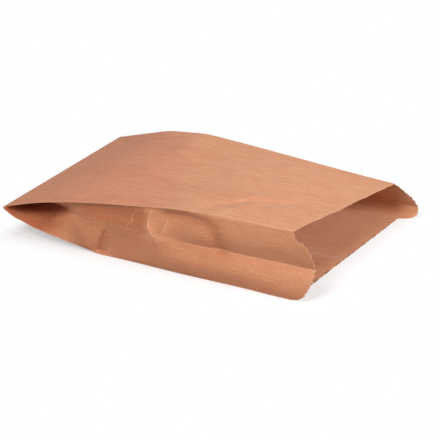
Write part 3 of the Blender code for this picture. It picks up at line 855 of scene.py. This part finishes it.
def kraft_material(colours):
    """Kraft paper: streaks along the sheet, fibres, grain, mottling, folds lightened as rubbing and painted
    highlight, redder and darker painted shade, and a felt-like bump.
    """
    material = bpy.data.materials.new("kraft_paper")
    make = NodeMaker(material)
    chart = make.add("ShaderNodeUVMap", uv_map="sheet").outputs[0]
    fold, creased, edge = make.reads("wear_and_highlight")
    across, rosy_shade, deep_shade = make.reads("tone")

    bent = make.noise(chart, 7.0, 2.0)
    shift = make.maths("MULTIPLY", make.maths("SUBTRACT", bent, 0.5), 0.010)
    offset = make.add("ShaderNodeCombineXYZ", {"Y": shift}).outputs[0]
    wavy = make.vector_maths("ADD", chart, offset)[0]
    streaks = make.noise(make.stretched(wavy, (22.0, 150.0, 1.0)), 1.0, 4.0, 0.60)
    threads = make.noise(make.stretched(wavy, (70.0, 560.0, 1.0)), 1.0, 3.0, 0.65)
    broad = make.noise(make.stretched(wavy, (4.0, 16.0, 1.0)), 1.0, 2.0, 0.5)
    fibres = make.noise(make.stretched(wavy, (420.0, 1900.0, 1.0)), 1.0, 3.0, 0.6)
    grain = make.noise(chart, 520.0, 3.0, 0.75)
    mottle = make.noise(chart, 38.0, 5.0, 0.6)

    round_bag = make.add("ShaderNodeSeparateXYZ", {"Vector": chart}).outputs["Y"]
    on_top = make.ramp(round_bag, *TOP_STREAKS)
    streaky = make.maths("ADD", make.maths("MULTIPLY", on_top, 0.36), 0.30)

    light = (*colours.light_fibre, 1.0)
    dark = (*colours.dark_fibre, 1.0)
    lighter = make.maths("MULTIPLY", make.ramp(broad, 0.38, 0.62), 0.44)
    tone = make.blend(lighter, (*colours.kraft, 1.0), light)
    # Pattern, value where its colour starts and value where it is full, share of the colour, colour
    for pattern, low, high, share, paint in (
        (streaks, 0.50, 0.68, streaky, dark),
        (streaks, 0.49, 0.31, streaky, light),
        (threads, 0.50, 0.66, streaky, dark),
        (threads, 0.50, 0.34, streaky, light),
        (broad, 0.46, 0.26, 0.34, dark),
        (mottle, 0.50, 0.74, 0.42, dark),
        (fibres, 0.55, 0.80, 0.35, dark),
        (grain, 0.50, 0.62, 0.66, dark),
        (grain, 0.50, 0.38, 0.66, light),
    ):
        tone = make.blend(make.maths("MULTIPLY", make.ramp(pattern, low, high), share), tone, paint)
    # Painted shade: the redder and the darker tints multiply the paper where shade falls
    tone = make.blend(make.maths("MULTIPLY", rosy_shade, 0.80), tone, (*colours.rosy_shade, 1.0), "MULTIPLY")
    tone = make.blend(deep_shade, tone, (*colours.deep_shade, 1.0), "MULTIPLY")

    # Folds and creases lightened as rubbed paper and painted highlight, the cut edge as rubbed paper
    ragged = make.maths("MULTIPLY", make.maths("SUBTRACT", make.noise(chart, 260.0, 2.0), 0.5), 0.0012)
    from_line = make.maths("ABSOLUTE", make.maths("ADD", across, ragged))
    line = make.maths("MULTIPLY", make.ramp(from_line, 0.0011, 0.0002), creased)
    rub_and_highlight_noise = make.ramp(make.noise(chart, 90.0, 3.0, 0.6), 0.20, 0.60)
    rub_and_highlight = make.maths("MULTIPLY", make.maths("MAXIMUM", make.maths("MULTIPLY", fold, 0.48), line), rub_and_highlight_noise)
    rub_and_highlight = make.maths("MINIMUM", make.maths("ADD", rub_and_highlight, make.maths("MULTIPLY", edge, 0.45)), 0.85)
    tone = make.blend(rub_and_highlight, tone, (*colours.worn_fold_and_highlight, 1.0))

    uneven_gloss = make.maths("MULTIPLY", make.ramp(streaks, 0.3, 0.7), 0.10)
    rough = make.maths("ADD", uneven_gloss, colours.roughness - 0.05)
    height = make.maths("MULTIPLY", make.noise(chart, 120.0, 3.0, 0.6), 0.00006)
    rises = ((fibres, 0.000020), (mottle, 0.00010), (streaks, 0.000075), (grain, 0.000030), (line, 0.00015))
    for pattern, rise in rises:
        height = make.maths("ADD", height, make.maths("MULTIPLY", pattern, rise))
    bump = make.add("ShaderNodeBump", {"Height": height, "Strength": 0.75, "Distance": 1.0}).outputs[0]
    shader = make.add("ShaderNodeBsdfPrincipled", {
        "Base Color": tone,
        "Roughness": rough,
        "Normal": bump,
        "Metallic": 0.0,
        "IOR": 1.45,
        "Specular IOR Level": 0.30,
        "Sheen Weight": 0.08,
        "Sheen Roughness": 0.5,
    })
    make.add("ShaderNodeOutputMaterial", {"Surface": shader.outputs[0]})
    return material


class ENVELOPE_OT_sheet(Operator):
    """Build the folded kraft paper sheet in its open shape"""

    bl_idname = "envelope.sheet"
    bl_label = "Paper sheet"
    bl_options = {"REGISTER", "UNDO"}

    def execute(self, context):
        scene = context.scene
        sheet = bpy.data.objects.new("kraft_sheet", build_sheet(scene.envelope_sizes))
        scene.collection.objects.link(sheet)
        sheet.data.materials.append(kraft_material(scene.envelope_colours))
        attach(sheet, "root")
        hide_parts(NODE)
        return {"FINISHED"}


# Studio


def floor_material(glow):
    """Matt floor with a share of plain white for the camera, all of it away from the object.

    The share is glow over the footprint and climbs to 1 over a short way outside it, so the shadow
    round the object is seen and ends there. Light from the floor onto the object is weaker.
    """
    material = bpy.data.materials.new("studio_floor")
    make = NodeMaker(material)
    camera_ray = make.add("ShaderNodeLightPath").outputs["Is Camera Ray"]
    place = make.add("ShaderNodeTexCoord").outputs["Object"]
    from_middle = make.vector_maths("SUBTRACT", place, FOOTPRINT_MIDDLE)[0]
    from_middle = make.vector_maths("ABSOLUTE", from_middle)[0]
    beyond = make.vector_maths("SUBTRACT", from_middle, FOOTPRINT_HALF)[0]
    beyond = make.vector_maths("MAXIMUM", beyond)[0]
    spread = make.vector_maths("LENGTH", beyond)["Value"]
    shade = make.blend(camera_ray, (0.42, 0.42, 0.42, 1.0), (0.94, 0.945, 0.955, 1.0))
    matt = make.add("ShaderNodeBsdfDiffuse", {"Color": shade}).outputs[0]
    plain = make.add("ShaderNodeEmission", {"Color": (1.0, 1.0, 1.0, 1.0), "Strength": 1.0}).outputs[0]
    fading = make.maths("MULTIPLY", make.ramp(spread, 0.0, SHADOW_FADE), 1.0 - glow)
    share = make.maths("ADD", fading, glow)
    factor = make.maths("MULTIPLY", camera_ray, share)
    mixed = make.add("ShaderNodeMixShader", {0: factor, 1: matt, 2: plain}).outputs[0]
    make.add("ShaderNodeOutputMaterial", {"Surface": mixed})
    return material


def studio_world(scene, level):
    """Even pale light from all round; rays that see it straight or in a gloss see plain white."""
    world = bpy.data.worlds.new("studio")
    make = NodeMaker(world)
    path = make.add("ShaderNodeLightPath").outputs
    seen = make.maths("MAXIMUM", path["Is Camera Ray"], path["Is Glossy Ray"])
    seen = make.maths("MAXIMUM", seen, path["Is Transmission Ray"])
    strength = make.maths("ADD", make.maths("MULTIPLY", seen, 1.0 - level), level)
    tint = make.blend(seen, (1.0, 0.88, 0.84, 1.0), (1.0, 1.0, 1.0, 1.0))
    sky = make.add("ShaderNodeBackground", {"Color": tint, "Strength": strength}).outputs[0]
    make.add("ShaderNodeOutputWorld", {"Surface": sky})
    scene.world = world


def soft_box(scene, name, place, aim, size, power):
    """Square area light at a place, pointed at another."""
    data = bpy.data.lights.new(name, "AREA")
    data.shape = "SQUARE"
    data.size = size
    data.energy = power
    lamp = bpy.data.objects.new(name, data)
    scene.collection.objects.link(lamp)
    lamp.location = place
    direction = np.array(aim) - np.array(place)
    flat = math.hypot(direction[0], direction[1])
    lamp.rotation_euler = (math.atan2(flat, -direction[2]), 0.0, math.atan2(-direction[0], direction[1]))


class ENVELOPE_OT_studio(Operator):
    """Add the pale floor, the soft lights and the camera"""

    bl_idname = "envelope.studio"
    bl_label = "Studio"
    bl_options = {"REGISTER", "UNDO"}

    def execute(self, context):
        scene = context.scene
        studio = scene.envelope_studio
        half = studio.floor_size / 2
        mesh = bpy.data.meshes.new("studio_floor")
        corners = [(-half, -half, 0.0), (half, -half, 0.0), (half, half, 0.0), (-half, half, 0.0)]
        mesh.from_pydata(corners, [], [(0, 1, 2, 3)])
        mesh.materials.append(floor_material(studio.floor_glow))
        floor = bpy.data.objects.new("studio_floor", mesh)
        scene.collection.objects.link(floor)
        studio_world(scene, studio.sky_level)
        soft_box(scene, "key_light", KEY_PLACE, LIGHT_AIM, LIGHT_SIZE, studio.key_power)
        soft_box(scene, "fill_light", FILL_PLACE, LIGHT_AIM, LIGHT_SIZE, studio.fill_power)

        lens = bpy.data.cameras.new("camera")
        lens.sensor_width = 36.0
        lens.lens = studio.lens
        lens.clip_end = 50.0
        camera = bpy.data.objects.new("camera", lens)
        scene.collection.objects.link(camera)
        level = math.cos(studio.elevation) * studio.distance
        target = np.array(studio.target)
        camera.location = target + np.array((
            math.sin(studio.azimuth) * level,
            -math.cos(studio.azimuth) * level,
            math.sin(studio.elevation) * studio.distance,
        ))
        camera.rotation_euler = (math.pi / 2 - studio.elevation, 0.0, studio.azimuth)
        scene.camera = camera
        scene.view_settings.view_transform = "Standard"
        return {"FINISHED"}


class ENVELOPE_PT_panel(Panel):
    bl_label = "Mailer Envelope"
    bl_idname = "ENVELOPE_PT_panel"
    bl_space_type = "VIEW_3D"
    bl_region_type = "UI"
    bl_category = "Envelope"

    def draw(self, context):
        scene = context.scene
        for operator in (ENVELOPE_OT_sheet, ENVELOPE_OT_studio):
            self.layout.operator(operator.bl_idname)
        for group in (scene.envelope_sizes, scene.envelope_colours, scene.envelope_studio):
            column = self.layout.column(align=True)
            for name in group.bl_rna.properties.keys():
                if name not in ("rna_type", "name"):
                    column.prop(group, name)


CLASSES = (
    EnvelopeSizes,
    PaperColours,
    StudioSettings,
    ENVELOPE_OT_sheet,
    ENVELOPE_OT_studio,
    ENVELOPE_PT_panel,
)


def register():
    for item in CLASSES:
        bpy.utils.register_class(item)
    bpy.types.Scene.envelope_sizes = PointerProperty(type=EnvelopeSizes)
    bpy.types.Scene.envelope_colours = PointerProperty(type=PaperColours)
    bpy.types.Scene.envelope_studio = PointerProperty(type=StudioSettings)


def unregister():
    del bpy.types.Scene.envelope_studio
    del bpy.types.Scene.envelope_colours
    del bpy.types.Scene.envelope_sizes
    for item in reversed(CLASSES):
        bpy.utils.unregister_class(item)


def main():
    register()
    bpy.ops.envelope.sheet()
    bpy.ops.envelope.studio()


if __name__ == "__main__":
    main()
